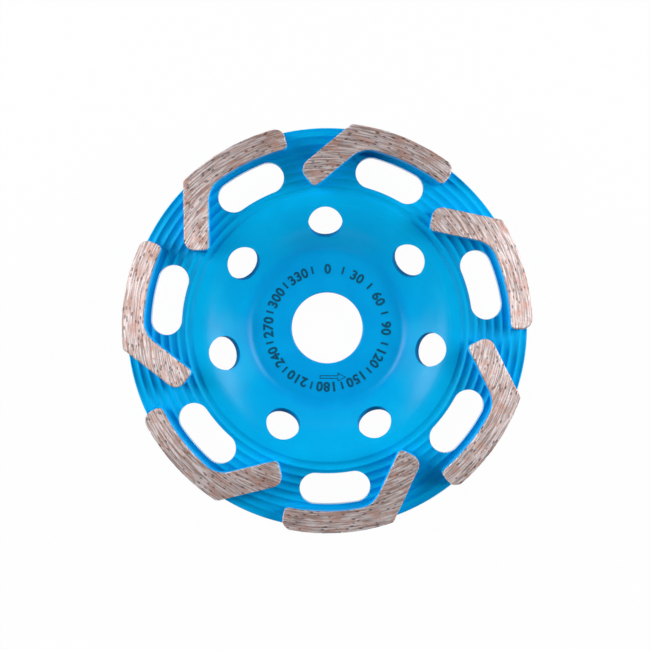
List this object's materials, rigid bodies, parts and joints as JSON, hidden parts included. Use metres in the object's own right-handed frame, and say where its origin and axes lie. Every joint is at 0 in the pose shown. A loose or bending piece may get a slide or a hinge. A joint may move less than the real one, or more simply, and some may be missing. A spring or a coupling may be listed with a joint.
{
  "type": "diamond cup wheel",
  "caption": "Shallow steel cup wheel with a grooved ring, bent diamond segments, kidney slots, round vents and a central spindle bore.",
  "frame": {"origin": "centre of the bore on the hub's rear face, which the wheel stands on", "axes": "+Z along the spindle axis towards the work, +X through the start of the first segment; seen from +Z the wheel turns anticlockwise"},
  "size_m": [0.1249, 0.1245, 0.0217],
  "materials": {
    "painted_steel": "satin blue paint over turned steel",
    "diamond_matrix": "ground sintered metal with exposed diamond grit"
  },
  "bodies": {
    "root": {"wheel_body": "painted_steel", "segment_1": "diamond_matrix", "segment_2": "diamond_matrix", "segment_3": "diamond_matrix", "segment_4": "diamond_matrix", "segment_5": "diamond_matrix", "segment_6": "diamond_matrix", "segment_7": "diamond_matrix"}
  },
  "joints": []
}
